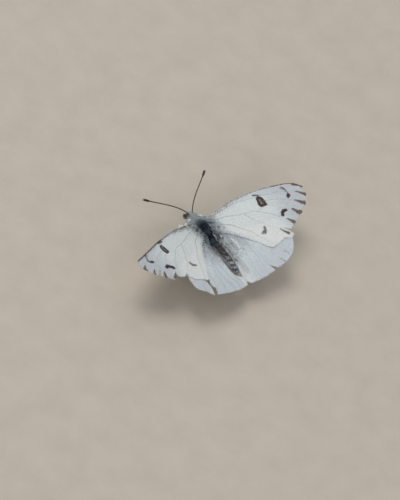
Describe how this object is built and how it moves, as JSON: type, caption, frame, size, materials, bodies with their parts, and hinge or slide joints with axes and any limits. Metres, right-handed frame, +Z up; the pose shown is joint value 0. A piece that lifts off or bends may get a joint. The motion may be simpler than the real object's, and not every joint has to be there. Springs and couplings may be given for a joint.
{
  "type": "white butterfly",
  "caption": "Life-size still model of a worn white butterfly with dark wing spots, basking with its wings spread and standing on its legs.",
  "frame": {"origin": "middle of the bounding box in plan, at the floor the feet stand on", "axes": "+X to the animal's left, -Y forward towards the head, +Z up"},
  "size_m": [0.0482, 0.0274, 0.0105],
  "materials": {
    "wing_scales": "matt white scales with dark spots",
    "thorax_hair": "long blue-grey and black hair",
    "abdomen_scales": "grey and pale scales in rings",
    "head_hair": "pale green-grey hair",
    "eye": "smooth, faceted",
    "antenna": "ringed, satin",
    "leg_scales": "pale scales"
  },
  "bodies": {
    "root": {"thorax": "thorax_hair", "abdomen": "abdomen_scales", "head": "head_hair", "proboscis": "antenna", "eye_left": "eye", "palp_left": "head_hair", "antenna_left": "antenna", "wing_fore_left": "wing_scales", "wing_hind_left": "wing_scales", "leg_fore_left": "leg_scales", "leg_mid_left": "leg_scales", "leg_hind_left": "leg_scales", "eye_right": "eye", "palp_right": "head_hair", "antenna_right": "antenna", "wing_fore_right": "wing_scales", "wing_hind_right": "wing_scales", "leg_fore_right": "leg_scales", "leg_mid_right": "leg_scales", "leg_hind_right": "leg_scales"}
  },
  "joints": []
}
